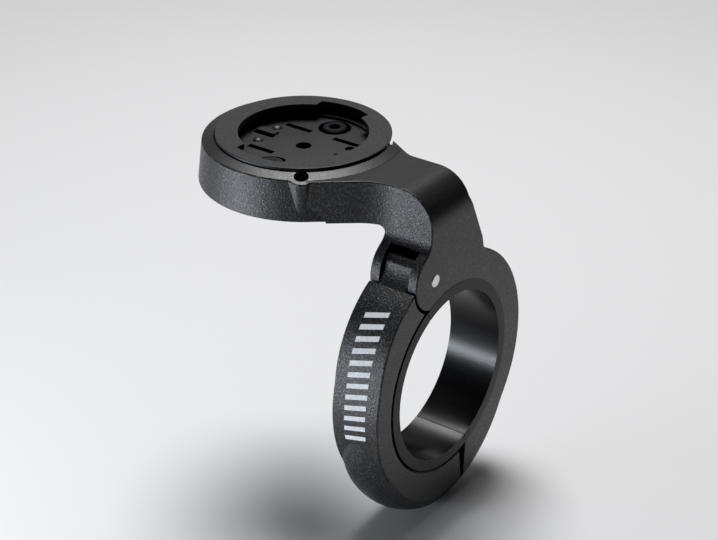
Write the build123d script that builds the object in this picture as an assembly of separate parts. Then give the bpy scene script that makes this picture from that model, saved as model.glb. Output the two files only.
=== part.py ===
from build123d import *
import os
from math import atan2, cos, degrees, radians, sin, sqrt

os.makedirs("parts", exist_ok=True)

# A handlebar mount for a cycling computer. The frame: the origin is the centre of the clamp's bore,
# +Y runs along the handlebar towards the dock, +Z is up and -X is the bicycle's forward direction.
# "Near" is the -Y side of the clamp and "far" is its +Y side. Angles in the side view are measured
# in the XZ plane, from +X towards +Z.

EDGE_R = 0.3            # rounding of the mouldings' outer edges
FACE_TOL = 0.001        # an edge this near a face lies on it
OVERRUN = 1.0           # how far hidden ends and cuts run past a face

# ---- clamp ring and liner ----
BAR_R = 15.9            # radius of the handlebar's clamping zone
LINER_WALL = 2.0        # thickness of the rubber-like liner
LINER_WIDTH = 10.5      # liner along the bar
RING_WALL = 4.6         # jaw thickness at the front and rear of the ring
RING_WIDTH = 9.6        # jaws along the bar
RING_NEAR = -5.2        # the jaws' near face
BORE_R = BAR_R + LINER_WALL
RING_R = BORE_R + RING_WALL
RING_FAR = RING_NEAR + RING_WIDTH
RING_MID = RING_NEAR + RING_WIDTH / 2
SHOULDER_OUT = (0.4, 0.8)   # centre of the arm side's slightly larger disc
SHOULDER_GROW = 0.1
STRAP_TOP_SHIFT = 5.0       # centre of the disc that thickens the strap towards its hinge
STRAP_TOP_ANGLE = 120
STRAP_TOP_R = RING_R - 3.2
STRAP_TOP_BLEND_R = 20.0    # soft step from the ring to that thicker part
STRAP_BORE_CHAMFER = 0.6    # the shadow line round the strap's bore
LINER_SEAM = 0.15           # gap between the two liner halves at each end

# ---- crowned lug round the clamp screw, at the bottom of the ring ----
BARREL_SHIFT = 5.0          # how far the barrel's centre lies from the bar's axis
BARREL_ANGLE = -88
BARREL_R = RING_R - 0.4     # in the middle of the width
BARREL_CROWN = 1.0          # how much smaller it is at its edges
BARREL_BEVEL = 1.8          # radial width of the bevel on both faces
BARREL_BEVEL_DEPTH = 0.8

# ---- split between the jaws ----
ARM_END_INNER = -71.1
ARM_END_OUTER = -78.4
STRAP_END_INNER = -78.3
STRAP_END_OUTER = -79.6
SPLIT_OUTER_R = RING_R + 3.5    # radius at which the outer angles are measured

# ---- hinge ----
PIN_R = 1.15
PIN_CLEARANCE = 0.04            # radial, in the strap's knuckle
PIN_STANDOFF = 4.3              # pin axis outside the jaws' bore
PIN_ANGLE = 104.8
PIN_PROUD = 0.1                 # how far the pin's heads stand out of the ears
EAR_R = 5.87
EAR_OFFSET = (0.15, 0.4)        # ear centre from the pin axis
EAR_GAP = 0.5                   # between the ears' round ends and the strap's shoulders
SLOT_WIDTH = 6.0
KNUCKLE_SIDE_GAP = 0.3
KNUCKLE_BACK_R = 3.5
KNUCKLE_BACK_GAP = 0.4
KNUCKLE_CREST = (-3.1, 4.6)     # corners of the knuckle's front, from the pin's axis
KNUCKLE_BROW = (-4.15, 3.4)
KNUCKLE_WAIST = (-4.75, 1.6)
KNUCKLE_ROOT = (-6.45, -0.5)
KNUCKLE_ROUND = 0.9             # softening of its crest and brow
ROOF_ABOVE_PIN = 5.9
LINER_GAP = 0.2                 # between the knuckle and the liner below it
LINER_GAP_FROM = 60             # where that gap starts, behind the knuckle
LINER_GAP_PAST = 1.5            # and how far past the liner's seam it goes on, in degrees
HINGE_SEAM = 116                # angle of the liner seam at the hinge

# ---- arm ----
POST_FRONT = 7.0                # the arm's half-widths at the bend, in front of and behind x = 0
POST_REAR = 4.95
POST_CORNER_R = 3.0             # concave arc from the post to the ears
REAR_FLARE_FROM = 15.4          # height above the bore radius where the post's rear starts to widen
REAR_FLARE_TO = 6.0             # and where it meets the ring
REAR_FLARE = 4.3                # how much wider the post is there
POST_FOOT = (1.0, -3.0)         # its hidden foot, from the flare's end across and from the ring's top down
ARM_RISE = 19.7                 # top face of the arm above the bore radius
ARM_THICK = 7.9
BEND_R = 6.5                    # outside of the bend
INNER_BEND_R = 1.3
DOCK_REACH = 22.7               # dock centre beyond the jaws' far face
ARM_TOP = BORE_R + ARM_RISE
ARM_UNDER = ARM_TOP - ARM_THICK
NECK_FRONT_CORNER_R = 10.0      # soft corners of the neck in plan
NECK_REAR_CORNER_R = 4.0
NECK_FRONT_LONG = 4.8           # from the bend to those corners
NECK_REAR_LONG = 6.5
NECK_FRONT_END = (-0.75, -1.6)  # from the tether hole to the end of the neck's front edge
NOSE = (8.2, -13.8)             # from the dock's centre to the tip beside the insert

# ---- dock insert, from its flange inwards ----
FLANGE_R = 15.67
INSERT_PROUD = 1.2              # top of the flange above the arm's top face
FLANGE_THICK = 0.45
FLANGE_EDGE_R = 0.15
FLANGE_OVERHANG = 0.67          # flange beyond the drum under it
SPIGOT_STEP = 0.6               # drum beyond the spigot under it
SPIGOT_GAP = 0.05               # radial, between the spigot and its pocket
CHAMBER_WALL = 0.5              # spigot wall round the chamber
DRUM_R = FLANGE_R - FLANGE_OVERHANG
SPIGOT_R = DRUM_R - SPIGOT_STEP
CHAMBER_R = SPIGOT_R - CHAMBER_WALL
LIP_REACH = 2.27                # how far the lip stands inwards from the chamber's wall
TAB_ENTRY_WALL = 0.45           # what the two bayonet entries leave of the lip
OPENING_R = CHAMBER_R - LIP_REACH
TAB_R = CHAMBER_R - TAB_ENTRY_WALL
TAB_HALF_ANGLE = 22.5
TAB_SLANT = 4.0                 # how much wider each entry is at its inner end, each side
TAB_OVERLAP = 0.5               # how far the entries' inner ends reach into the round opening
LIP_THICK = 1.1
FLOOR_DEPTH = 2.9
FLOOR_THICK = 2.5
LEDGE_WIDTH = 1.3
LEDGE_HIGH = 0.5
CENTRE_HOLE_R = 1.4
FINGER_SLOT_X = 5.55
FINGER_SLOT_W = 1.2
FINGER_SLOT_FROM = 2.5
FINGER_SLOT_TO = 8.0
THIN_SLOT_W = 0.8
THIN_SLOT_X = -0.3
THIN_SLOT_FROM = 6.5
THIN_SLOT_TO = 10.9
BUMP_R = 1.0
BUMP_HIGH = 0.5
BUMPS = ((3.2, 8.4), (-2.9, 7.9))
DIMPLE_R = 0.95
DIMPLE_DEPTH = 0.5
DIMPLES = ((3.7, -7.5), (-3.1, -7.8))
TONGUE_W = 1.5
TONGUE_HIGH = 0.4
TONGUE_SHORTER = 0.2            # than the thin slot, at each end
SINK = 0.2                      # how far raised details reach down into the floor

# ---- dock screws (M2.5 low head) and their thread inserts ----
DOCK_SCREW_INSET = 4.55         # their axes inside the chamber's wall
DOCK_SCREW_R = 1.25
DOCK_SCREW_GAP = 0.15           # radial, in the insert's floor
DOCK_HEAD_R = 2.3
DOCK_HEAD_HIGH = 1.6
DOCK_HEAD_CHAMFER = 0.25
DOCK_HEX = 2.0
DOCK_HEX_DEEP = 0.9
COUNTERBORE_GAP = 0.7           # round the screw's head
COUNTERBORE_DEEP = 1.3
DOCK_SCREW_LONG = 4.0
THREAD_GAP = 0.05               # radial, between a plain shank and a plain threaded bore
SLEEVE_WALL = 0.45              # brass thread insert
SLEEVE_LONG = 3.2
DOCK_SCREW_X = CHAMBER_R - DOCK_SCREW_INSET
SLEEVE_R = DOCK_SCREW_R + THREAD_GAP + SLEEVE_WALL

# ---- dock ring, round the insert ----
FLANGE_GAP = 0.23               # radial, between the flange and its recess
RIM_WALL = 2.1
RIM_RISE = 0.6                  # the rim slopes up by this much towards the insert
RECESS_DEPTH = 1.9
RECESS_R = FLANGE_R + FLANGE_GAP
POCKET_R = SPIGOT_R + SPIGOT_GAP
DOCK_R = RECESS_R + RIM_WALL
RING_FLARE = 0.8                # how much wider the ring is at its foot
RING_SHORTER = 0.35             # how far its underside stays above the neck's
NOTCH_PAST_DRUM = 0.3           # the rim is cut back to this far outside the drum at the rear
NOTCH_FROM = -70
NOTCH_TO = 22
TETHER_HOLE_R = 1.3
TETHER_INSET = 1.05             # hole's centre inside the ring's wall
TETHER_ANGLE = -144.3
TETHER_BOSS_WALL = 0.95         # round the hole
TETHER_BLEND_R = 2.5            # soft sides of the boss
TETHER_BOSS_REACH = 5.5         # how far those sides spread
TETHER_BOSS_TAPER = 4.5         # degrees: the boss is lost in the wall at the bottom
TETHER_BOSS_R = TETHER_HOLE_R + TETHER_BOSS_WALL

# ---- clamp screw (M3 x 8 button head), washer and captive nut ----
SCREW_ORBIT_OUT = 4.0           # screw axis outside the jaws' bore
SCREW_ANGLE = -77.5             # where the screw crosses the split
SCREW_R = 1.5
SCREW_HOLE_GAP = 0.2            # radial, in both jaws and in the washer
SCREW_HOLE_R = SCREW_R + SCREW_HOLE_GAP
SCREW_LONG = 8.0
HEAD_R = 2.85
HEAD_HIGH = 1.65
HEAD_ROUND = 0.9
TIP_CHAMFER = 0.375
HEAD_HEX = 2.0
HEAD_HEX_DEEP = 1.0
WASHER_PAST_HEAD = 0.1
WASHER_THICK = 0.5
HEAD_SEAT = 2.6                 # strap wall under the washer
HEAD_POCKET_GAP = 0.15          # radial, round the washer
WASHER_R = HEAD_R + WASHER_PAST_HEAD
NUT_SEAT = 2.4                  # arm wall in front of the nut
NUT_HEX = 5.5
NUT_THICK = 2.4
NUT_GAP = 0.05
TIP_INSIDE = 0.3                # the withdrawn screw's tip stays this far inside the strap


def polar(radius, angle):
    return (radius * cos(radians(angle)), radius * sin(radians(angle)))


def disc(centre, radius):
    return Pos(*centre) * Circle(radius)


def outline(*points):
    return make_face(Polyline(*points, close=True))


def slab(face, near=RING_NEAR, far=RING_FAR):
    """Makes a side outline (X across, Z up) solid from y = near to y = far."""
    side = Plane(origin=(0, far, 0), x_dir=(1, 0, 0), z_dir=(0, -1, 0))
    return extrude(side * face, far - near)


def level(face, low, high):
    """Makes a plan outline (X across, Y up the page) solid from z = low to z = high."""
    return extrude(Pos(0, 0, low) * face, high - low)


def spun(points_face, centre):
    """Turns a half profile (radius, y) into a round solid about a line along Y."""
    return Pos(centre[0], 0, centre[1]) * revolve(points_face, Axis.Y, 360)


PIN = polar(BORE_R + PIN_STANDOFF, PIN_ANGLE)
EAR = (PIN[0] + EAR_OFFSET[0], PIN[1] + EAR_OFFSET[1])
SLOT_NEAR = RING_MID - SLOT_WIDTH / 2
SLOT_FAR = RING_MID + SLOT_WIDTH / 2
KNUCKLE_NEAR = SLOT_NEAR + KNUCKLE_SIDE_GAP
KNUCKLE_FAR = SLOT_FAR - KNUCKLE_SIDE_GAP
FAR_OUT = 3 * RING_R            # beyond every outline
DOCK = (0, RING_FAR + DOCK_REACH)
INSERT_TOP = ARM_TOP + INSERT_PROUD
FLOOR_Z = INSERT_TOP - FLOOR_DEPTH
POCKET_FLOOR = FLOOR_Z - FLOOR_THICK
LEDGE_Z = ARM_TOP + RIM_RISE - RECESS_DEPTH
COUNTERBORE_Z = FLOOR_Z - COUNTERBORE_DEEP
RING_UNDER = ARM_UNDER + RING_SHORTER
BARREL = polar(BARREL_SHIFT, BARREL_ANGLE)


# ---- clamp ----

def screw_frame():
    """A plane whose origin is where the screw crosses the split and whose Z runs into the arm."""
    x, z = polar(BORE_R + SCREW_ORBIT_OUT, SCREW_ANGLE)
    dx, dz = polar(1, SCREW_ANGLE + 90)
    return Plane(origin=(x, RING_MID, z), x_dir=(0, 1, 0), z_dir=(dx, 0, dz))


def along_screw(face, start, length):
    """Extrudes a face along the screw's axis, from start over length, towards the arm."""
    return screw_frame() * Pos(0, 0, start) * extrude(face, length)


def barrel():
    """The crowned lug: a short barrel that stands out of the ring's bottom."""
    edge_r = BARREL_R - BARREL_CROWN
    face_r = edge_r - BARREL_BEVEL
    near_edge = (edge_r, RING_NEAR + BARREL_BEVEL_DEPTH)
    far_edge = (edge_r, RING_FAR - BARREL_BEVEL_DEPTH)
    flat = Polyline(far_edge, (face_r, RING_FAR), (0, RING_FAR), (0, RING_NEAR), (face_r, RING_NEAR), near_edge)
    crown = ThreePointArc(near_edge, (BARREL_R, RING_MID), far_edge)
    return spun(make_face([flat, crown]), BARREL)


def soft_corner(face, point, radius):
    """Rounds the outline's corner that lies nearest to a point."""
    corner = min(face.vertices(), key=lambda v: (v.X - point[0]) ** 2 + (v.Y - point[1]) ** 2)
    return fillet(corner, radius)


def level_with(edge, y):
    return abs((edge @ 0.5).Y - y) < FACE_TOL


def from_axis(edge, centre):
    """How far the middle of an edge lies from a line along Y."""
    middle = edge @ 0.5
    return sqrt((middle.X - centre[0]) ** 2 + (middle.Z - centre[1]) ** 2)


def face_edges(solid):
    """The edges that lie in the jaws' near or far face."""
    return [e for e in solid.edges() if level_with(e, RING_NEAR) or level_with(e, RING_FAR)]


def arm_region():
    """Side-view area that belongs to the arm's jaw: from the split round the rear to the hinge."""
    inner = polar(BORE_R, ARM_END_INNER)
    outer = polar(SPLIT_OUTER_R, ARM_END_OUTER)
    tail = (outer[0] + (outer[0] - inner[0]), outer[1] + (outer[1] - inner[1]))
    return outline((0, 0), inner, tail, (FAR_OUT, tail[1]), (FAR_OUT, FAR_OUT), (0, FAR_OUT),
                   polar(2 * RING_R, PIN_ANGLE))


def strap_region():
    """Side-view area that belongs to the strap: from the hinge round the front to the split."""
    inner = polar(BORE_R, STRAP_END_INNER)
    outer = polar(SPLIT_OUTER_R, STRAP_END_OUTER)
    tail = (outer[0] + (outer[0] - inner[0]), outer[1] + (outer[1] - inner[1]))
    top = polar(2 * RING_R, (PIN_ANGLE + HINGE_SEAM) / 2 + 2)
    return outline((0, 0), top, (-FAR_OUT, FAR_OUT), (-FAR_OUT, tail[1]), tail, inner)


def bore(grow=0.0):
    return slab(disc((0, 0), BORE_R + grow), RING_NEAR - OVERRUN, RING_FAR + OVERRUN)


def arm_jaw():
    ring = slab(disc((0, 0), RING_R) + disc(SHOULDER_OUT, RING_R + SHOULDER_GROW))
    ring = fillet(face_edges(ring), EDGE_R)
    return (ring + barrel()) & slab(arm_region())


def strap_jaw():
    top_centre = polar(STRAP_TOP_SHIFT, STRAP_TOP_ANGLE)
    side = (disc((0, 0), RING_R) + disc(top_centre, STRAP_TOP_R)) & strap_region()
    side = soft_corner(side - disc(EAR, EAR_R + EAR_GAP), (-RING_R, 0), STRAP_TOP_BLEND_R)
    jaw = slab(side)
    edges = face_edges(jaw)
    outer = [e for e in edges if from_axis(e, (0, 0)) > RING_R - FACE_TOL]
    shoulders = [e for e in edges if abs(from_axis(e, EAR) - EAR_R - EAR_GAP) < FACE_TOL]
    jaw = fillet(outer + shoulders, EDGE_R)
    return jaw + (barrel() & slab(strap_region()))


def knuckle():
    """The strap's tongue between the ears, round at its back and proud at its top front."""
    x, z = PIN
    back = disc(PIN, KNUCKLE_BACK_R)
    offsets = (KNUCKLE_CREST, KNUCKLE_BROW, KNUCKLE_WAIST, KNUCKLE_ROOT)
    crest, brow, waist, root = [(x + dx, z + dz) for dx, dz in offsets]
    front = ThreePointArc(brow, waist, root)
    inside = polar(BORE_R + 3, STRAP_TOP_ANGLE + 10)
    heel = polar(BORE_R - 1, HINGE_SEAM + 3)
    rest = Polyline(root, inside, heel, (x, z - KNUCKLE_BACK_R), (x, z + KNUCKLE_BACK_R), crest, brow)
    tongue = back + make_face([front, rest])
    tongue = soft_corner(tongue, crest, KNUCKLE_ROUND)
    return slab(soft_corner(tongue, brow, KNUCKLE_ROUND), KNUCKLE_NEAR, KNUCKLE_FAR)


def strap_bore():
    """The strap's bore, wider where the knuckle passes over the arm's half of the liner."""
    over_liner = outline((0, 0), polar(FAR_OUT, LINER_GAP_FROM), polar(FAR_OUT, HINGE_SEAM + LINER_GAP_PAST))
    return bore() + (bore(LINER_GAP) & slab(over_liner, RING_NEAR - OVERRUN, RING_FAR + OVERRUN))


def clamp_strap():
    strap = strap_jaw() + knuckle() - strap_bore()
    mouth_r = BORE_R + STRAP_BORE_CHAMFER
    funnel = [(0, 0), (mouth_r, 0), (BORE_R, STRAP_BORE_CHAMFER), (0, STRAP_BORE_CHAMFER)]
    near_cone = spun(outline(*[(r, RING_NEAR + y) for r, y in funnel]), (0, 0))
    far_cone = spun(outline(*[(r, RING_FAR - y) for r, y in funnel]), (0, 0))
    strap = strap - near_cone - far_cone
    strap -= slab(disc(PIN, PIN_R + PIN_CLEARANCE), RING_NEAR - OVERRUN, RING_FAR + OVERRUN)
    strap -= along_screw(Circle(SCREW_HOLE_R), -2 * HEAD_SEAT, 3 * HEAD_SEAT)
    return strap - along_screw(Circle(WASHER_R + HEAD_POCKET_GAP), -HEAD_SEAT - FAR_OUT, FAR_OUT)


def liner_half(start, end):
    """One half of the liner, between two angles, leaving the seam gap at each end."""
    def cut(angle, side):
        x, z = polar(1, angle)
        return (-z * side * LINER_SEAM / 2, x * side * LINER_SEAM / 2)

    first, last = cut(start, 1), cut(end, -1)
    steps = [start + (end - start) * k / 4 for k in range(5)]
    rim = [polar(FAR_OUT, a) for a in steps]
    rim[0] = (rim[0][0] + first[0], rim[0][1] + first[1])
    rim[-1] = (rim[-1][0] + last[0], rim[-1][1] + last[1])
    tube = disc((0, 0), BORE_R) - disc((0, 0), BAR_R)
    return slab(tube & outline(first, *rim, last), -LINER_WIDTH / 2, LINER_WIDTH / 2)


def hinge_pin():
    reach = RING_WIDTH + 2 * PIN_PROUD
    pin = slab(disc(PIN, PIN_R), RING_NEAR - PIN_PROUD, RING_NEAR - PIN_PROUD + reach)
    return chamfer(pin.edges().filter_by(GeomType.CIRCLE), PIN_PROUD)


# ---- clamp screw, washer and nut ----

def screw_tip():
    return -TIP_INSIDE


def clamp_screw():
    head_under = screw_tip() - SCREW_LONG
    head = along_screw(Circle(HEAD_R), head_under - HEAD_HIGH, HEAD_HIGH)
    outer_rim = head.edges().filter_by(GeomType.CIRCLE).sort_by(screw_sort)[0]
    head = fillet(outer_rim, HEAD_ROUND)
    shank = along_screw(Circle(SCREW_R), head_under, SCREW_LONG)
    tip = shank.edges().filter_by(GeomType.CIRCLE).sort_by(screw_sort)[-1]
    shank = chamfer(tip, TIP_CHAMFER)
    socket = RegularPolygon(HEAD_HEX / 2, 6, major_radius=False)
    return head + shank - along_screw(socket, head_under - HEAD_HIGH, HEAD_HEX_DEEP)


def screw_sort(edge):
    """Places an edge along the screw's axis, so that edges can be put in order."""
    frame = screw_frame()
    return (edge.center() - frame.origin).dot(frame.z_dir)


def clamp_washer():
    head_under = screw_tip() - SCREW_LONG
    ring = Circle(WASHER_R) - Circle(SCREW_HOLE_R)
    return along_screw(ring, head_under, WASHER_THICK)


def clamp_nut():
    hexagon = RegularPolygon(NUT_HEX / 2, 6, major_radius=False)
    return along_screw(hexagon - Circle(SCREW_R + THREAD_GAP), NUT_SEAT, NUT_THICK)


def arm_screw_way():
    """Screw hole and nut channel through the arm's side of the lug."""
    hexagon = RegularPolygon(NUT_HEX / 2 + NUT_GAP, 6, major_radius=False)
    hole = along_screw(Circle(SCREW_HOLE_R), -NUT_SEAT, 2 * NUT_SEAT + NUT_THICK)
    return hole + along_screw(hexagon, NUT_SEAT, FAR_OUT)


# ---- arm ----

def post_outline():
    """Side view of the arm: the ears, the post and the flare at the rear."""
    reach = POST_CORNER_R + EAR_R
    across = POST_FRONT + POST_CORNER_R + EAR[0]
    corner = (-POST_FRONT - POST_CORNER_R, EAR[1] + sqrt(reach ** 2 - across ** 2))
    touch = (corner[0] + (EAR[0] - corner[0]) * POST_CORNER_R / reach,
             corner[1] + (EAR[1] - corner[1]) * POST_CORNER_R / reach)
    turn = degrees(atan2(touch[1] - corner[1], touch[0] - corner[0])) / 2
    middle = (corner[0] + POST_CORNER_R * cos(radians(turn)), corner[1] + POST_CORNER_R * sin(radians(turn)))
    ear_corner = ThreePointArc((-POST_FRONT, corner[1]), middle, touch)
    flare_top = (POST_REAR, BORE_R + REAR_FLARE_FROM)
    flare_foot = (POST_REAR + REAR_FLARE, BORE_R + REAR_FLARE_TO)
    foot = (flare_foot[0] + POST_FOOT[0], RING_R + POST_FOOT[1])
    rest = Polyline(touch, EAR, (0, BORE_R), foot, flare_foot, flare_top, (POST_REAR, ARM_TOP),
                    (-POST_FRONT, ARM_TOP), (-POST_FRONT, corner[1]))
    return make_face([ear_corner, rest]) + disc(EAR, EAR_R)


def neck_outline():
    """Plan view of the arm's neck, from the bend into the dock ring."""
    tether = tether_centre()
    ring_front = (tether[0] + NECK_FRONT_END[0], tether[1] + NECK_FRONT_END[1])
    nose = (DOCK[0] + NOSE[0], DOCK[1] + NOSE[1])
    near_y = RING_NEAR - OVERRUN
    neck_y = RING_NEAR + BEND_R
    front_corner = (-POST_FRONT, neck_y + NECK_FRONT_LONG)
    rear_corner = (POST_REAR, neck_y + NECK_REAR_LONG)
    neck = outline((-POST_FRONT, near_y), front_corner, ring_front, DOCK, nose,
                   rear_corner, (POST_REAR, near_y))
    neck = soft_corner(neck, front_corner, NECK_FRONT_CORNER_R)
    return soft_corner(neck, rear_corner, NECK_REAR_CORNER_R)


def tether_boss():
    """The lug round the tether hole. It narrows downwards until it is lost in the ring's wall."""
    tether = tether_centre()
    plan = disc(DOCK, DOCK_R) + disc(tether, TETHER_BOSS_R)
    plan = fillet(plan.vertices(), TETHER_BLEND_R) & disc(tether, TETHER_BOSS_REACH)
    return extrude(Pos(0, 0, INSERT_TOP) * plan, RING_UNDER - INSERT_TOP, taper=TETHER_BOSS_TAPER)


def dock_ring():
    """The ring round the dock: a flared wall with the tether boss on it, and a sloping top."""
    ring = (flared_wall() + tether_boss()) & sloping_top()
    borders = [e for e in ring.edges() if on_border(e)]
    return fillet(borders, EDGE_R) - level(rear_notch(), ARM_UNDER - OVERRUN, INSERT_TOP)


def flared_wall():
    """A solid cone that is as wide as the ring's rim at the arm's top face and wider at its foot."""
    spread = RING_FLARE / (ARM_TOP - RING_UNDER)
    high = INSERT_TOP - RING_UNDER
    foot_r = DOCK_R + RING_FLARE
    cone = Cone(foot_r, foot_r - high * spread, high, align=(Align.CENTER, Align.CENTER, Align.MIN))
    return at_dock(cone, RING_UNDER)


def sloping_top():
    """A wide cone, on a cylinder, that the ring's top is cut to: the rim rises towards the insert."""
    slope = RIM_RISE / (DOCK_R - RECESS_R)
    wide = DOCK_R + 2 * TETHER_BOSS_R
    narrow = RECESS_R - OVERRUN
    foot = ARM_TOP - (wide - DOCK_R) * slope
    cone = Cone(wide, narrow, (wide - narrow) * slope, align=(Align.CENTER, Align.CENTER, Align.MIN))
    return at_dock(cone, foot) + level(disc(DOCK, wide), ARM_UNDER - OVERRUN, foot)


def on_border(edge):
    """Whether an edge of the dock ring runs round it, and not up its wall."""
    start, middle, end = edge @ 0, edge @ 0.5, edge @ 1
    outside = sqrt((middle.X - DOCK[0]) ** 2 + (middle.Y - DOCK[1]) ** 2) > DOCK_R - FACE_TOL
    upright = abs(start.Z - end.Z) > OVERRUN
    return outside and not upright


def bend_profile():
    """Side view across the bicycle: a plate that turns from upright to flat."""
    top_start = (RING_NEAR + BEND_R, ARM_TOP)
    side_end = (RING_NEAR, ARM_TOP - BEND_R)
    bend_mid = (top_start[0] - BEND_R * cos(radians(45)), side_end[1] + BEND_R * sin(radians(45)))
    inner_top = (RING_FAR + INNER_BEND_R, ARM_UNDER)
    inner_low = (RING_FAR, ARM_UNDER - INNER_BEND_R)
    inner_mid = (inner_top[0] - INNER_BEND_R * cos(radians(45)), inner_low[1] + INNER_BEND_R * sin(radians(45)))
    end_y = DOCK[1] + DOCK_R + OVERRUN
    outer = ThreePointArc(side_end, bend_mid, top_start)
    top = Polyline(top_start, (end_y, ARM_TOP), (end_y, ARM_UNDER), inner_top)
    inner = ThreePointArc(inner_top, inner_mid, inner_low)
    down = Polyline(inner_low, (RING_FAR, 0), (RING_NEAR, 0), side_end)
    face = Plane.YZ * make_face([outer, top, inner, down])
    return extrude(face, FAR_OUT, both=True)


def tether_centre():
    x, y = polar(DOCK_R - TETHER_INSET, TETHER_ANGLE)
    return (DOCK[0] + x, DOCK[1] + y)


def rear_notch():
    """Plan of what the rim loses at the rear, where it is cut back flush with the insert."""
    corners = [polar(2 * DOCK_R, a) for a in (NOTCH_FROM, (NOTCH_FROM + NOTCH_TO) / 2, NOTCH_TO)]
    return Pos(*DOCK) * outline((0, 0), *corners) - disc(DOCK, DRUM_R + NOTCH_PAST_DRUM)


def dock_pocket():
    recess = level(disc(DOCK, RECESS_R), LEDGE_Z, INSERT_TOP)
    pocket = level(disc(DOCK, POCKET_R), POCKET_FLOOR, INSERT_TOP)
    holes = [disc((DOCK[0] + side * DOCK_SCREW_X, DOCK[1]), SLEEVE_R) for side in (-1, 1)]
    screws = level(holes[0] + holes[1], ARM_UNDER - OVERRUN, INSERT_TOP)
    tether = level(disc(tether_centre(), TETHER_HOLE_R), ARM_UNDER - OVERRUN, INSERT_TOP)
    return recess + pocket + screws + tether


def hinge_slot():
    """The gap between the ears, up to its flat roof."""
    back = PIN[0] + KNUCKLE_BACK_R + KNUCKLE_BACK_GAP
    roof = PIN[1] + ROOF_ABOVE_PIN
    return slab(outline((-FAR_OUT, 0), (back, 0), (back, roof), (-FAR_OUT, roof)), SLOT_NEAR, SLOT_FAR)


def on_outside(edge):
    """Whether an edge lies on the bent plate's outer skin: near face, bend or top."""
    p = edge @ 0.5
    from_bend = sqrt((p.Y - RING_NEAR - BEND_R) ** 2 + (p.Z - ARM_TOP + BEND_R) ** 2)
    on_bend = abs(from_bend - BEND_R) < FACE_TOL
    return level_with(edge, RING_NEAR) or abs(p.Z - ARM_TOP) < FACE_TOL or on_bend


def crosses_plate(edge):
    """Whether an edge runs straight across the plate, where the bend starts or ends."""
    start, end = edge @ 0, edge @ 1
    return abs(start.Y - end.Y) < FACE_TOL and abs(start.Z - end.Z) < FACE_TOL


def bent_plate():
    """Ears, post, bend and neck in one, with the outer skin's edges rounded."""
    upright = slab(post_outline(), RING_NEAR, RING_FAR + INNER_BEND_R)
    flat = level(neck_outline(), ARM_UNDER - INNER_BEND_R, ARM_TOP)
    plate = (upright + flat) & bend_profile()

    def hidden(edge):
        p = edge @ 0.5
        in_ring = p.X > EAR[0] + EAR_R / 2 and from_axis(edge, (0, 0)) < RING_R - OVERRUN
        in_dock = sqrt((p.X - DOCK[0]) ** 2 + (p.Y - DOCK[1]) ** 2) < DOCK_R - OVERRUN
        return in_ring or in_dock

    edges = [e for e in plate.edges() if on_outside(e) and not crosses_plate(e) and not hidden(e)]
    under_ring = level(disc(DOCK, DOCK_R + RING_FLARE), ARM_UNDER - OVERRUN, RING_UNDER)
    return fillet(edges, EDGE_R) - under_ring


def arm_body():
    arm = bent_plate() + dock_ring() + arm_jaw()
    arm = arm - bore() - dock_pocket() - hinge_slot()
    arm -= slab(disc(PIN, PIN_R), RING_NEAR - OVERRUN, RING_FAR + OVERRUN)
    return arm - arm_screw_way()


# ---- dock insert ----

def bayonet_opening():
    """Round opening with two wide entries on the X axis, their ends slanted."""
    opening = Circle(OPENING_R)
    for turn in (0, 180):
        ends = []
        for side in (1, -1):
            ends.append((polar(OPENING_R - TAB_OVERLAP, turn + side * (TAB_HALF_ANGLE + TAB_SLANT)),
                         polar(TAB_R, turn + side * TAB_HALF_ANGLE)))
        (in_a, out_a), (in_b, out_b) = ends
        outer = ThreePointArc(out_a, polar(TAB_R, turn), out_b)
        opening += make_face([outer, Polyline(out_b, in_b, in_a, out_a)])
    return opening


def floor_slots():
    wide_long = FINGER_SLOT_TO - FINGER_SLOT_FROM
    wide_mid = (FINGER_SLOT_TO + FINGER_SLOT_FROM) / 2
    thin_long = THIN_SLOT_TO - THIN_SLOT_FROM
    thin_mid = (THIN_SLOT_TO + THIN_SLOT_FROM) / 2
    slots = Circle(CENTRE_HOLE_R)
    for side in (1, -1):
        for x in (-FINGER_SLOT_X, FINGER_SLOT_X):
            slots += Pos(x, side * wide_mid) * Rectangle(FINGER_SLOT_W, wide_long)
        slots += Pos(side * THIN_SLOT_X, side * thin_mid) * Rectangle(THIN_SLOT_W, thin_long)
    return slots


def at_dock(solid, z):
    return Pos(DOCK[0], DOCK[1], z) * solid


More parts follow.
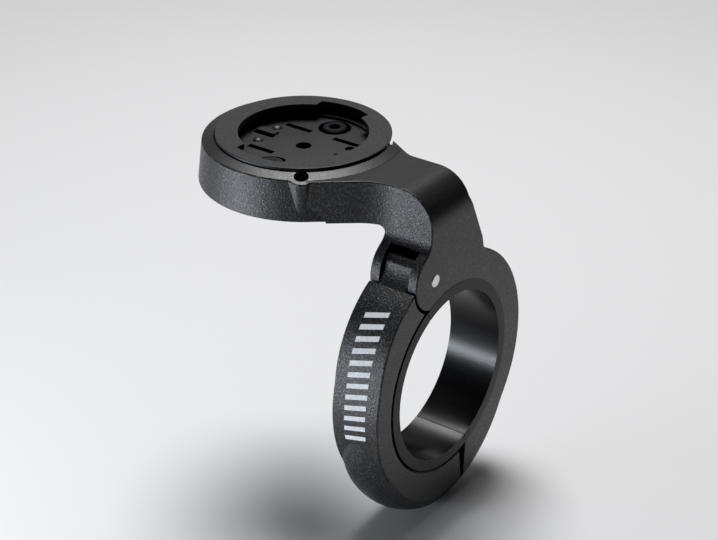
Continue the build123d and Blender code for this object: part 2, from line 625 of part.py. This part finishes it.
def dock_insert():
    """The bayonet dish that the computer turns into."""
    up = (Align.CENTER, Align.CENTER, Align.MIN)
    flange = Cylinder(FLANGE_R, FLANGE_THICK, align=up)
    flange = fillet(flange.edges().filter_by(GeomType.CIRCLE).sort_by(Axis.Z)[-1], FLANGE_EDGE_R)
    flange = at_dock(flange, INSERT_TOP - FLANGE_THICK)
    drum = at_dock(Cylinder(DRUM_R, INSERT_TOP - LEDGE_Z, align=up), LEDGE_Z)
    spigot = at_dock(Cylinder(SPIGOT_R, LEDGE_Z - POCKET_FLOOR, align=up), POCKET_FLOOR)
    dish = flange + drum + spigot
    chamber = at_dock(Cylinder(CHAMBER_R, FLOOR_DEPTH - LIP_THICK, align=up), FLOOR_Z)
    dish -= chamber
    dish -= at_dock(extrude(bayonet_opening(), FLOOR_DEPTH), INSERT_TOP - LIP_THICK)
    ledge = Circle(CHAMBER_R) - Circle(CHAMBER_R - LEDGE_WIDTH)
    dish += at_dock(extrude(ledge, LEDGE_HIGH), FLOOR_Z)
    dish -= at_dock(extrude(floor_slots(), FLOOR_THICK), POCKET_FLOOR)
    for side in (-1, 1):
        place = Pos(side * DOCK_SCREW_X, 0)
        hole = Cylinder(DOCK_SCREW_R + DOCK_SCREW_GAP, FLOOR_THICK, align=up)
        counterbore = Cylinder(DOCK_HEAD_R + COUNTERBORE_GAP, FLOOR_DEPTH, align=up)
        dish -= at_dock(place * hole, POCKET_FLOOR) + at_dock(place * counterbore, COUNTERBORE_Z)
    for x, y in DIMPLES:
        dish -= at_dock(Pos(x, y) * Cylinder(DIMPLE_R, DIMPLE_DEPTH, align=up), FLOOR_Z - DIMPLE_DEPTH)
    ball_r = (BUMP_R ** 2 + BUMP_HIGH ** 2) / (2 * BUMP_HIGH)
    ground = Box(3 * BUMP_R, 3 * BUMP_R, 3 * BUMP_R, align=up)
    for x, y in BUMPS:
        dome = at_dock(Pos(x, y) * Sphere(ball_r), FLOOR_Z + BUMP_HIGH - ball_r)
        dish += dome & at_dock(Pos(x, y) * ground, FLOOR_Z - SINK)
    tongue_long = THIN_SLOT_TO - THIN_SLOT_FROM - 2 * TONGUE_SHORTER
    tongue = Box(TONGUE_W, tongue_long, TONGUE_HIGH + SINK, align=up)
    tongue_x = THIN_SLOT_X + (THIN_SLOT_W + TONGUE_W) / 2
    dish += at_dock(Pos(tongue_x, (THIN_SLOT_FROM + THIN_SLOT_TO) / 2) * tongue, FLOOR_Z - SINK)
    return dish


def dock_screw(side):
    up = (Align.CENTER, Align.CENTER, Align.MIN)
    place = Pos(side * DOCK_SCREW_X, 0)
    head = Cylinder(DOCK_HEAD_R, DOCK_HEAD_HIGH, align=up)
    head = chamfer(head.edges().filter_by(GeomType.CIRCLE).sort_by(Axis.Z)[-1], DOCK_HEAD_CHAMFER)
    head -= Pos(0, 0, DOCK_HEAD_HIGH - DOCK_HEX_DEEP) * extrude(
        RegularPolygon(DOCK_HEX / 2, 6, major_radius=False), DOCK_HEX_DEEP)
    shank = Pos(0, 0, -DOCK_SCREW_LONG) * Cylinder(DOCK_SCREW_R, DOCK_SCREW_LONG, align=up)
    return at_dock(place * (head + shank), COUNTERBORE_Z)


def thread_insert(side):
    tube = Circle(SLEEVE_R) - Circle(SLEEVE_R - SLEEVE_WALL)
    sleeve = Pos(side * DOCK_SCREW_X, 0) * extrude(tube, SLEEVE_LONG)
    return at_dock(sleeve, POCKET_FLOOR - SLEEVE_LONG)


def both_sides(make):
    return Compound([make(-1).solid(), make(1).solid()])


PARTS = {
    "arm_body": arm_body,
    "clamp_strap": clamp_strap,
    "liner_upper": lambda: liner_half(ARM_END_INNER, HINGE_SEAM),
    "liner_lower": lambda: liner_half(HINGE_SEAM, ARM_END_INNER + 360),
    "hinge_pin": hinge_pin,
    "clamp_screw": clamp_screw,
    "clamp_washer": clamp_washer,
    "clamp_nut": clamp_nut,
    "dock_insert": dock_insert,
    "dock_screws": lambda: both_sides(dock_screw),
    "thread_inserts": lambda: both_sides(thread_insert),
}

for name, make in PARTS.items():
    export_step(make(), f"parts/{name}.step")
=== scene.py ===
import math

import bpy
from bpy.props import FloatProperty, FloatVectorProperty, IntProperty, PointerProperty
from mathutils import Matrix, Vector


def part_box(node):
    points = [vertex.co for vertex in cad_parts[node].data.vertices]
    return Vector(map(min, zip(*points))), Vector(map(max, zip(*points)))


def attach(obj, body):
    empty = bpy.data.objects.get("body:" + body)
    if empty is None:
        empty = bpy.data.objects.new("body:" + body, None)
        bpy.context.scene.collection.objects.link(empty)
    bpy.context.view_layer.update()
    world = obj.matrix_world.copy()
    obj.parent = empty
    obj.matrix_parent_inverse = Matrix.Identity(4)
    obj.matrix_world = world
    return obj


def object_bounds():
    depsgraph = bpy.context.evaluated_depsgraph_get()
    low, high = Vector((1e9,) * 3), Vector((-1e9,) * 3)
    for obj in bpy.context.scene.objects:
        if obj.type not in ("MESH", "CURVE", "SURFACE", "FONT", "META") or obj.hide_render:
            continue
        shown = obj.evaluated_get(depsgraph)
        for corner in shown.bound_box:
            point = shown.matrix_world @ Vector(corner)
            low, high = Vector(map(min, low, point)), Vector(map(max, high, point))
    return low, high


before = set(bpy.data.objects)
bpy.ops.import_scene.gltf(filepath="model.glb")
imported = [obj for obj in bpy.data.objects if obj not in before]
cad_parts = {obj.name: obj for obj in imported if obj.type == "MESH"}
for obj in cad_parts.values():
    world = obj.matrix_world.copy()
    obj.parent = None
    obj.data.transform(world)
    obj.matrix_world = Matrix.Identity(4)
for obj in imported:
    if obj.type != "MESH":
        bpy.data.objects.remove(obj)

bl_info = {
    "name": "Handlebar Mount Finishes",
    "version": (1, 0, 0),
    "blender": (4, 5, 0),
    "location": "View3D > Sidebar > Mount",
    "description": "Finishes, printed bars and studio for an out-front handlebar mount",
    "category": "Object",
}

MM = 0.001
CAD_BOX = [list(corner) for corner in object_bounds()]
DOCK_LOW, DOCK_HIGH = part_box("dock_insert")
DOCK_CENTRE = (DOCK_LOW + DOCK_HIGH) / 2
STRAP_LOW, STRAP_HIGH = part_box("clamp_strap")
PIN_LOW, PIN_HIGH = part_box("hinge_pin")
PIN_CENTRE = (PIN_LOW + PIN_HIGH) / 2
NUT_LOW, NUT_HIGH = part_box("clamp_nut")
NUT_CENTRE = (NUT_LOW + NUT_HIGH) / 2
ALONG_BAR, UPRIGHT = (0, 1, 0), (0, 0, 1)

SATIN = 0.5                 # specular level of the moulded plastics
CLOUD_SIZE = 9 * MM         # slow change of gloss over the mouldings
SPECK_LOW, SPECK_HIGH = 0.50, 0.64      # grain noise between these fades into pale specks
SPECK_GLOSS = 0.12          # how much smoother the body's specks are
DISH_GRAIN = 0.8            # the dish's grain, as a share of the body's
DRAWN_SIZE = 0.5 * MM       # streaks along the liner's bore
TURNED_PITCH = 0.12 * MM    # fine rings on turned metal
TURNED_DEPTH = 0.004 * MM
FINE_DEPTH = 0.006 * MM     # streaks in the liner and specks on the blackened screws
INK_DEPTH = 0.008 * MM
DUST_SIZE = 0.4             # metres: slow change of the floor's shade

# Each metal's darker and lighter shade, and its least roughness.
PIN_STEEL = ((0.62, 0.62, 0.61), (0.82, 0.82, 0.81), 0.22)
PLATED_STEEL = ((0.45, 0.45, 0.44), (0.62, 0.62, 0.60), 0.30)
BRASS = ((0.60, 0.42, 0.17), (0.78, 0.58, 0.27), 0.30)

SENSOR_WIDTH = 36           # millimetres
NEAREST_SEEN = 0.01         # metres from the camera


# ---- node trees ----

class Wire:
    """One number or vector that flows through a tree. Arithmetic on it adds the nodes."""

    def __init__(self, graph, socket):
        self.graph = graph
        self.socket = socket

    def maths(self, operation, *values):
        sockets = dict(enumerate(values))
        return self.graph.take(self.graph.maths_node, {"operation": operation}, sockets)

    def __add__(self, other):
        return self.maths("ADD", self, other)

    __radd__ = __add__

    def __sub__(self, other):
        return self.maths("SUBTRACT", self, other)

    def __rsub__(self, other):
        return self.maths("SUBTRACT", other, self)

    def __mul__(self, other):
        return self.maths("MULTIPLY", self, other)

    __rmul__ = __mul__

    def __truediv__(self, other):
        return self.maths("DIVIDE", self, other)

    def __abs__(self):
        return self.maths("ABSOLUTE", self)

    def sine(self):
        return self.maths("SINE", self)

    def cosine(self):
        return self.maths("COSINE", self)

    def root(self):
        return self.maths("SQRT", self)

    def ramped(self, low, high):
        """0 below low, 1 above high, and a smooth rise between them."""
        sockets = {"Value": self, "From Min": low, "From Max": high}
        return self.graph.take("ShaderNodeMapRange", {"interpolation_type": "SMOOTHSTEP"}, sockets)


class Graph:
    """Adds nodes to one tree. A socket takes a number, a vector, an object or a Wire."""

    maths_node = "ShaderNodeMath"

    def __init__(self, tree):
        self.tree = tree

    def node(self, kind, settings=None, sockets=None):
        made = self.tree.nodes.new(kind)
        for name, value in (settings or {}).items():
            setattr(made, name, value)
        for name, value in (sockets or {}).items():
            if isinstance(value, Wire):
                self.tree.links.new(value.socket, made.inputs[name])
            else:
                made.inputs[name].default_value = value
        return made

    def take(self, kind, settings=None, sockets=None, output=0):
        """Adds a node and returns one of its outputs."""
        return Wire(self, self.node(kind, settings, sockets).outputs[output])

    def parts(self, vector):
        split = self.node("ShaderNodeSeparateXYZ", None, {0: vector})
        return [Wire(self, socket) for socket in split.outputs]


class Finish(Graph):
    """A material with one Principled shader."""

    def __init__(self, name, **fixed):
        self.material = bpy.data.materials.new(name)
        self.material.use_nodes = True
        super().__init__(self.material.node_tree)
        self.shader = self.tree.nodes["Principled BSDF"]
        for socket, value in fixed.items():
            self.shader.inputs[socket.replace("_", " ")].default_value = value
        self.place = self.take("ShaderNodeTexCoord", output="Object")
        self.facing = self.take("ShaderNodeTexCoord", output="Normal")

    def feed(self, socket, wire):
        self.tree.links.new(wire.socket, self.shader.inputs[socket])

    def noise(self, size, detail=2.0, stretch=None):
        """Cloudy noise whose features are about size metres across."""
        vector = self.place
        if stretch:
            vector = self.take("ShaderNodeMapping", None, {"Vector": self.place, "Scale": stretch})
        sockets = {"Vector": vector, "Scale": 1 / size, "Detail": detail, "Roughness": 0.6}
        return self.take("ShaderNodeTexNoise", None, sockets)

    def between(self, share, first, second):
        sockets = {0: share, 6: (*first, 1), 7: (*second, 1)}
        return self.take("ShaderNodeMix", {"data_type": "RGBA"}, sockets, output=2)

    def bumped(self, height, depth):
        """Raises the surface by depth metres where height is 1."""
        sockets = {"Height": height, "Distance": depth, "Strength": 1.0}
        self.feed("Normal", self.take("ShaderNodeBump", None, sockets))


class Shape(Graph):
    """A geometry tree with named inputs, run on an empty mesh and turned into a plain one."""

    def __init__(self, name):
        super().__init__(bpy.data.node_groups.new(name, "GeometryNodeTree"))
        self.name = name
        self.tree.interface.new_socket("Geometry", in_out="OUTPUT", socket_type="NodeSocketGeometry")
        self.entry = self.tree.nodes.new("NodeGroupInput")
        self.values = {}

    def size(self, label, value, kind="NodeSocketFloat"):
        """Adds a named input and returns the wire that carries it."""
        socket = self.tree.interface.new_socket(label, in_out="INPUT", socket_type=kind)
        self.values[socket.identifier] = value
        return Wire(self, self.entry.outputs[label])

    def vector(self, x=0.0, y=0.0, z=0.0):
        return self.take("ShaderNodeCombineXYZ", None, {0: x, 1: y, 2: z})

    def scaled(self, direction, amount):
        return self.take("ShaderNodeVectorMath", {"operation": "SCALE"}, {0: direction, "Scale": amount})

    def together(self, one, two):
        return self.take("ShaderNodeVectorMath", {"operation": "ADD"}, {0: one, 1: two})

    def finished(self, geometry, material):
        real = self.take("GeometryNodeRealizeInstances", None, {0: geometry})
        done = self.take("GeometryNodeSetMaterial", None, {0: real, "Material": material})
        self.node("NodeGroupOutput", None, {0: done})
        host = bpy.data.objects.new(self.name, bpy.data.meshes.new(self.name))
        bpy.context.scene.collection.objects.link(host)
        modifier = host.modifiers.new(self.name, "NODES")
        modifier.node_group = self.tree
        for identifier, value in self.values.items():
            modifier[identifier] = value
        view = bpy.context.evaluated_depsgraph_get()
        mesh = bpy.data.meshes.new_from_object(host.evaluated_get(view))
        host.modifiers.clear()
        host.data = mesh
        return host


# ---- finishes ----

def body_plastic(colours):
    """Moulded black plastic, speckled by the mould's spark texture; on the walls the pale specks are
    made stronger as a painted glint.
    """
    finish = Finish("body_plastic", Specular_IOR_Level=SATIN)
    grain = finish.noise(colours.grain * MM, detail=3.0)
    clouds = finish.noise(CLOUD_SIZE)
    across = finish.parts(finish.facing)[0]
    wall = abs(across).ramped(0.15, 0.6)
    speck = grain.ramped(SPECK_LOW, SPECK_HIGH)
    # pale mould specks everywhere, painted paler on faces turned along X as a painted glint
    grain_and_glint = speck * (wall * 0.7 + 0.3)
    finish.feed("Base Color", finish.between(grain_and_glint, colours.body_dark, colours.body_light))
    finish.feed("Roughness", colours.body_roughness + clouds * 0.06 - wall * 0.02 - speck * SPECK_GLOSS)
    finish.bumped(grain * (wall * 0.8 + 0.2), colours.grain_depth * MM)
    return finish.material


def insert_plastic(colours):
    """The dish's plastic: the same black with a finer, drier face."""
    finish = Finish("insert_plastic", Specular_IOR_Level=SATIN)
    grain = finish.noise(colours.grain * DISH_GRAIN * MM, detail=3.0)
    speck = grain.ramped(0.42, 0.66)
    finish.feed("Base Color", finish.between(speck * 0.6, colours.body_dark, colours.body_light))
    finish.feed("Roughness", colours.body_roughness + 0.05 - speck * 0.08)
    finish.bumped(grain, colours.grain_depth * 0.25 * MM)
    return finish.material


def liner_rubber(colours):
    """Smooth rubbery plastic: dry on its end faces, glossy and faintly streaked in the bore."""
    finish = Finish("liner_rubber", Specular_IOR_Level=0.3)
    drawn = finish.noise(DRAWN_SIZE, stretch=(1, 0.12, 1))
    end_face = abs(finish.parts(finish.facing)[1]).ramped(0.4, 0.8)
    finish.feed("Base Color", finish.between(end_face, colours.liner_bore, colours.liner_end))
    finish.feed("Roughness", drawn * 0.08 + end_face * 0.24 + 0.2)
    finish.bumped(drawn, FINE_DEPTH)
    return finish.material


def turned_metal(name, metal, centre, axis):
    """Bare metal with fine rings round its own axis, turned or rolled."""
    dark, light, roughness = metal
    finish = Finish(name, Metallic=1.0)
    offset = finish.take("ShaderNodeVectorMath", {"operation": "SUBTRACT"},
                         {0: finish.place, 1: tuple(centre)})
    first, second = [wire for wire, along in zip(finish.parts(offset), axis) if not along]
    from_axis = (first * first + second * second).root()
    rings = (from_axis * (math.tau / TURNED_PITCH)).sine()
    specks = finish.noise(0.3 * MM)
    finish.feed("Base Color", finish.between(specks, dark, light))
    finish.feed("Roughness", specks * 0.15 + roughness)
    finish.bumped(rings * 0.5 + specks * 0.5, TURNED_DEPTH)
    return finish.material


def black_oxide(colours):
    """Blackened steel: dark, slightly blue, with paler rubbed specks."""
    finish = Finish("black_oxide", Metallic=1.0)
    specks = finish.noise(0.25 * MM, detail=4.0)
    worn = specks.ramped(0.62, 0.78)
    finish.feed("Base Color", finish.between(worn, colours.oxide, tuple(3 * c for c in colours.oxide)))
    finish.feed("Roughness", specks * 0.25 + 0.26)
    finish.bumped(specks, FINE_DEPTH)
    return finish.material


def print_ink(colours):
    """Pale pad-printed ink, a little thin in places."""
    finish = Finish("print_ink", Specular_IOR_Level=0.35)
    thin = finish.noise(0.35 * MM, detail=3.0)
    finish.feed("Base Color", finish.between(thin.ramped(0.3, 0.7), colours.ink_thin, colours.ink))
    finish.feed("Roughness", thin * 0.2 + 0.45)
    finish.bumped(thin, INK_DEPTH)
    return finish.material


def dress(material, *nodes):
    """Gives CAD nodes one material."""
    for name in nodes:
        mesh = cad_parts[name].data
        mesh.materials.clear()
        mesh.materials.append(material)


# ---- settings ----

class MountColours(bpy.types.PropertyGroup):
    """Colours and grain of the mount's finishes."""

    body_dark: FloatVectorProperty(
        name="Body, dark", description="Darker shade of the black plastic",
        default=(0.002, 0.0022, 0.0026), subtype="COLOR", min=0, max=1)
    body_light: FloatVectorProperty(
        name="Body, light", description="Paler shade of the black plastic",
        default=(0.060, 0.064, 0.072), subtype="COLOR", min=0, max=1)
    body_roughness: FloatProperty(
        name="Body roughness", description="Mean roughness of the body's flat faces",
        default=0.38, min=0.05, max=1)
    grain: FloatProperty(
        name="Grain size", description="Size of the mould's spark texture, in millimetres",
        default=0.34, min=0.05, max=2)
    grain_depth: FloatProperty(
        name="Grain depth", description="Depth of that texture on the walls, in millimetres",
        default=0.12, min=0, max=1)
    liner_bore: FloatVectorProperty(
        name="Liner bore", description="Colour of the liner inside the bore",
        default=(0.003, 0.003, 0.0033), subtype="COLOR", min=0, max=1)
    liner_end: FloatVectorProperty(
        name="Liner ends", description="Colour of the liner's end faces",
        default=(0.009, 0.0095, 0.011), subtype="COLOR", min=0, max=1)
    oxide: FloatVectorProperty(
        name="Screw black", description="Colour of the blackened screws",
        default=(0.030, 0.032, 0.036), subtype="COLOR", min=0, max=1)
    ink: FloatVectorProperty(
        name="Ink", description="Colour of the printed bars",
        default=(0.86, 0.87, 0.89), subtype="COLOR", min=0, max=1)
    ink_thin: FloatVectorProperty(
        name="Ink, thin", description="Colour where the printed ink is thin",
        default=(0.68, 0.70, 0.73), subtype="COLOR", min=0, max=1)


class PrintedBars(bpy.types.PropertyGroup):
    """The row of plain bars printed on the strap's outer face."""

    count: IntProperty(
        name="Bars", description="How many bars there are", default=12, min=1, max=40)
    first_angle: FloatProperty(
        name="First bar", description="Where the row starts, measured round the bore from the rear",
        default=math.radians(132), subtype="ANGLE")
    last_angle: FloatProperty(
        name="Last bar", description="Where the row ends",
        default=math.radians(189), subtype="ANGLE")
    width: FloatProperty(
        name="Width", description="Width of a bar along the strap",
        default=0.9 * MM, min=0, unit="LENGTH")
    length: FloatProperty(
        name="Length", description="Length of a bar across the strap",
        default=4.4 * MM, min=0, unit="LENGTH")
    slant: FloatProperty(
        name="Slant", description="How far a bar leans along the strap for each metre across it",
        default=0.28)
    thickness: FloatProperty(
        name="Ink thickness", description="How far the ink stands out of the strap",
        default=0.012 * MM, min=0, unit="LENGTH")


class Studio(bpy.types.PropertyGroup):
    """Camera, floor and lights."""

    azimuth: FloatProperty(
        name="Azimuth", description="Direction the camera stands in, from straight in front",
        default=math.radians(-54.524), subtype="ANGLE")
    elevation: FloatProperty(
        name="Elevation", description="How far the camera looks down",
        default=math.radians(28.167), subtype="ANGLE")
    roll: FloatProperty(
        name="Roll", description="How far the camera is turned about its own axis",
        default=math.radians(0.379), subtype="ANGLE")
    stand: FloatVectorProperty(
        name="Camera place", description="Where the camera stands",
        default=(-0.26164, -0.17158, 0.18679), subtype="TRANSLATION", unit="LENGTH")
    lens: FloatProperty(
        name="Lens", description="Focal length, in millimetres on a 36 mm sensor", default=102.13, min=1)
    floor_colour: FloatVectorProperty(
        name="Floor", description="Colour of the floor",
        default=(0.86, 0.86, 0.87), subtype="COLOR", min=0, max=1)
    floor_half: FloatProperty(
        name="Floor reach", description="How far the floor reaches from the object", default=3.0, min=0,
        unit="LENGTH")
    backdrop: FloatProperty(
        name="Backdrop", description="Brightness beyond the floor's edge", default=0.8, min=0)


# ---- pieces ----

class MOUNT_OT_body(bpy.types.Operator):
    """Give the arm and the strap their moulded plastic"""

    bl_idname = "mount.body"
    bl_label = "Body plastic"

    def execute(self, context):
        dress(body_plastic(context.scene.mount_colours), "arm_body", "clamp_strap")
        return {"FINISHED"}


class MOUNT_OT_dish(bpy.types.Operator):
    """Give the dock's dish its drier plastic"""

    bl_idname = "mount.dish"
    bl_label = "Dish plastic"

    def execute(self, context):
        dress(insert_plastic(context.scene.mount_colours), "dock_insert")
        return {"FINISHED"}


class MOUNT_OT_liner(bpy.types.Operator):
    """Give the two liner halves their rubbery finish"""

    bl_idname = "mount.liner"
    bl_label = "Liner rubber"

    def execute(self, context):
        dress(liner_rubber(context.scene.mount_colours), "liner_upper", "liner_lower")
        return {"FINISHED"}


class MOUNT_OT_metal(bpy.types.Operator):
    """Give the pin, nut, washer, screws and thread inserts their metals"""

    bl_idname = "mount.metal"
    bl_label = "Metals"

    def execute(self, context):
        dress(turned_metal("pin_steel", PIN_STEEL, PIN_CENTRE, ALONG_BAR), "hinge_pin")
        plated = turned_metal("plated_steel", PLATED_STEEL, NUT_CENTRE, ALONG_BAR)
        dress(plated, "clamp_nut", "clamp_washer")
        dress(turned_metal("brass", BRASS, DOCK_CENTRE, UPRIGHT), "thread_inserts")
        dress(black_oxide(context.scene.mount_colours), "clamp_screw", "dock_screws")
        return {"FINISHED"}


class MOUNT_OT_bars(bpy.types.Operator):
    """Print the row of plain bars on the strap's outer face"""

    bl_idname = "mount.bars"
    bl_label = "Printed bars"

    def execute(self, context):
        bars = context.scene.mount_bars
        shape = Shape("strap_bars")
        count = shape.size("Bars", bars.count, "NodeSocketInt")
        first = shape.size("First angle", bars.first_angle)
        last = shape.size("Last angle", bars.last_angle)
        width = shape.size("Width", bars.width)
        length = shape.size("Length", bars.length)
        slant = shape.size("Slant", bars.slant)
        thickness = shape.size("Thickness", bars.thickness)
        strap = shape.size("Strap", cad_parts["clamp_strap"], "NodeSocketObject")
        radius = -STRAP_LOW.x

        arc = (last - first) * radius
        row = shape.take("GeometryNodeMeshLine", {"mode": "END_POINTS", "count_mode": "TOTAL"},
                         {"Count": count, "Start Location": shape.vector(), "Offset": shape.vector(arc)})
        size = shape.vector(width, length, 2 * thickness)
        bar = shape.take("GeometryNodeMeshCube", None, {"Size": size, "Vertices X": 3, "Vertices Y": 5})
        spread = shape.take("GeometryNodeInstanceOnPoints", None, {"Points": row, "Instance": bar})
        flat = shape.take("GeometryNodeRealizeInstances", None, {0: spread})

        # Each point is wrapped round the bore's axis, then dropped onto the strap along that direction.
        along, across, up = shape.parts(shape.take("GeometryNodeInputPosition"))
        angle = first + (along + across * slant) / radius
        outward = shape.vector(angle.cosine(), 0.0, angle.sine())
        middle = (STRAP_LOW.y + STRAP_HIGH.y) / 2
        away = shape.together(shape.scaled(outward, 2 * radius), shape.vector(0.0, across + middle, 0.0))
        target = shape.take("GeometryNodeObjectInfo", None, {"Object": strap}, output="Geometry")
        hit = shape.take("GeometryNodeRaycast", None,
                         {"Target Geometry": target, "Source Position": away,
                          "Ray Direction": shape.scaled(outward, -1.0), "Ray Length": 2 * radius},
                         output="Hit Position")
        wrapped = shape.take("GeometryNodeSetPosition", None,
                             {0: flat, "Position": shape.together(hit, shape.scaled(outward, up))})
        piece = shape.finished(wrapped, print_ink(context.scene.mount_colours))
        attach(piece, "strap")
        return {"FINISHED"}


class MOUNT_OT_stage(bpy.types.Operator):
    """Set the floor, the lights and the camera"""

    bl_idname = "mount.stage"
    bl_label = "Studio"

    SOFTBOX = (0.70, 0.35, 0.35)            # distance, size across and up
    STRIP = (0.17, 0.10, 0.034)
    WHITE, COOL = (1, 1, 1), (0.84, 0.91, 1)
    LIGHTS = (
        # name, azimuth and elevation from the object, box, spread, watts, colour
        ("overhead", 40, 68, SOFTBOX, 90, 1.3, WHITE),
        ("rear_low", 0, 12, SOFTBOX, 180, 0.34, WHITE),
        ("far_rear_low", 45, 12, SOFTBOX, 180, 0.15, WHITE),
        ("far_low", 90, 12, SOFTBOX, 180, 0.28, WHITE),
        ("rear_high", 22, 42, SOFTBOX, 180, 0.08, WHITE),
        ("forward_strip", 146, -5.5, STRIP, 180, 0.20, COOL),
    )
    AIM = (0.0, 0.012, 0.008)               # the point that every light faces

    def execute(self, context):
        scene = context.scene
        self.floor(scene.mount_studio)
        for light in self.LIGHTS:
            self.light(*light)
        self.backdrop(scene)
        self.camera(scene)
        scene.view_settings.view_transform = "Standard"
        return {"FINISHED"}

    def backdrop(self, scene):
        """A pale sky beyond the floor, which lights nothing."""
        world = bpy.data.worlds.new("studio_air")
        world.use_nodes = True
        background = world.node_tree.nodes["Background"]
        background.inputs["Color"].default_value = (1, 1, 1, 1)
        background.inputs["Strength"].default_value = scene.mount_studio.backdrop
        world.cycles_visibility.diffuse = False
        world.cycles_visibility.glossy = False
        scene.world = world

    def camera(self, scene):
        studio = scene.mount_studio
        camera = bpy.data.objects.new("camera", bpy.data.cameras.new("camera"))
        camera.data.lens = studio.lens
        camera.data.sensor_width = SENSOR_WIDTH
        camera.data.clip_start = NEAREST_SEEN
        camera.matrix_world = (
            Matrix.Translation(studio.stand)
            @ Matrix.Rotation(studio.azimuth, 4, "Z")
            @ Matrix.Rotation(math.pi / 2 - studio.elevation, 4, "X")
            @ Matrix.Rotation(studio.roll, 4, "Z"))
        scene.collection.objects.link(camera)
        scene.camera = camera

    def floor(self, studio):
        half = studio.floor_half
        height = CAD_BOX[0][2]
        mesh = bpy.data.meshes.new("floor")
        corners = [(-half, -half), (half, -half), (half, half), (-half, half)]
        mesh.from_pydata([(x, y, height) for x, y in corners], [], [(0, 1, 2, 3)])
        floor = bpy.data.objects.new("floor", mesh)
        finish = Finish("floor", Roughness=0.9, Specular_IOR_Level=0.2)
        dust = finish.noise(DUST_SIZE)
        pale = tuple(studio.floor_colour)
        finish.feed("Base Color", finish.between(dust, pale, tuple(0.98 * c for c in pale)))
        mesh.materials.append(finish.material)
        bpy.context.scene.collection.objects.link(floor)

    def light(self, name, azimuth, elevation, box, spread, watts, colour):
        distance, across, up = box
        lamp = bpy.data.lights.new(name, "AREA")
        lamp.shape = "RECTANGLE"
        lamp.size = across
        lamp.size_y = up
        lamp.spread = math.radians(spread)
        lamp.energy = watts
        lamp.color = colour
        turn, lift = math.radians(azimuth), math.radians(elevation)
        away = Vector((math.cos(turn) * math.cos(lift), math.sin(turn) * math.cos(lift), math.sin(lift)))
        holder = bpy.data.objects.new(name, lamp)
        holder.location = Vector(self.AIM) + distance * away
        holder.rotation_euler = (-away).to_track_quat("-Z", "Y").to_euler()
        bpy.context.scene.collection.objects.link(holder)


class MOUNT_PT_panel(bpy.types.Panel):
    """Lists the mount's settings and steps"""

    bl_label = "Handlebar mount"
    bl_idname = "MOUNT_PT_panel"
    bl_space_type = "VIEW_3D"
    bl_region_type = "UI"
    bl_category = "Mount"

    def draw(self, context):
        for group in (context.scene.mount_colours, context.scene.mount_bars, context.scene.mount_studio):
            box = self.layout.box()
            for name in group.__annotations__:
                box.prop(group, name)
        for step in STEPS:
            self.layout.operator(step.bl_idname)


STEPS = (MOUNT_OT_body, MOUNT_OT_dish, MOUNT_OT_liner, MOUNT_OT_metal, MOUNT_OT_bars, MOUNT_OT_stage)
GROUPS = {"mount_colours": MountColours, "mount_bars": PrintedBars, "mount_studio": Studio}


def register():
    for cls in (*GROUPS.values(), *STEPS, MOUNT_PT_panel):
        bpy.utils.register_class(cls)
    for name, group in GROUPS.items():
        setattr(bpy.types.Scene, name, PointerProperty(type=group))


def unregister():
    for name in GROUPS:
        delattr(bpy.types.Scene, name)
    for cls in (MOUNT_PT_panel, *STEPS, *GROUPS.values()):
        bpy.utils.unregister_class(cls)


def main():
    register()
    for step in STEPS:
        group, name = step.bl_idname.split(".")
        getattr(getattr(bpy.ops, group), name)()


if __name__ == "__main__":
    main()
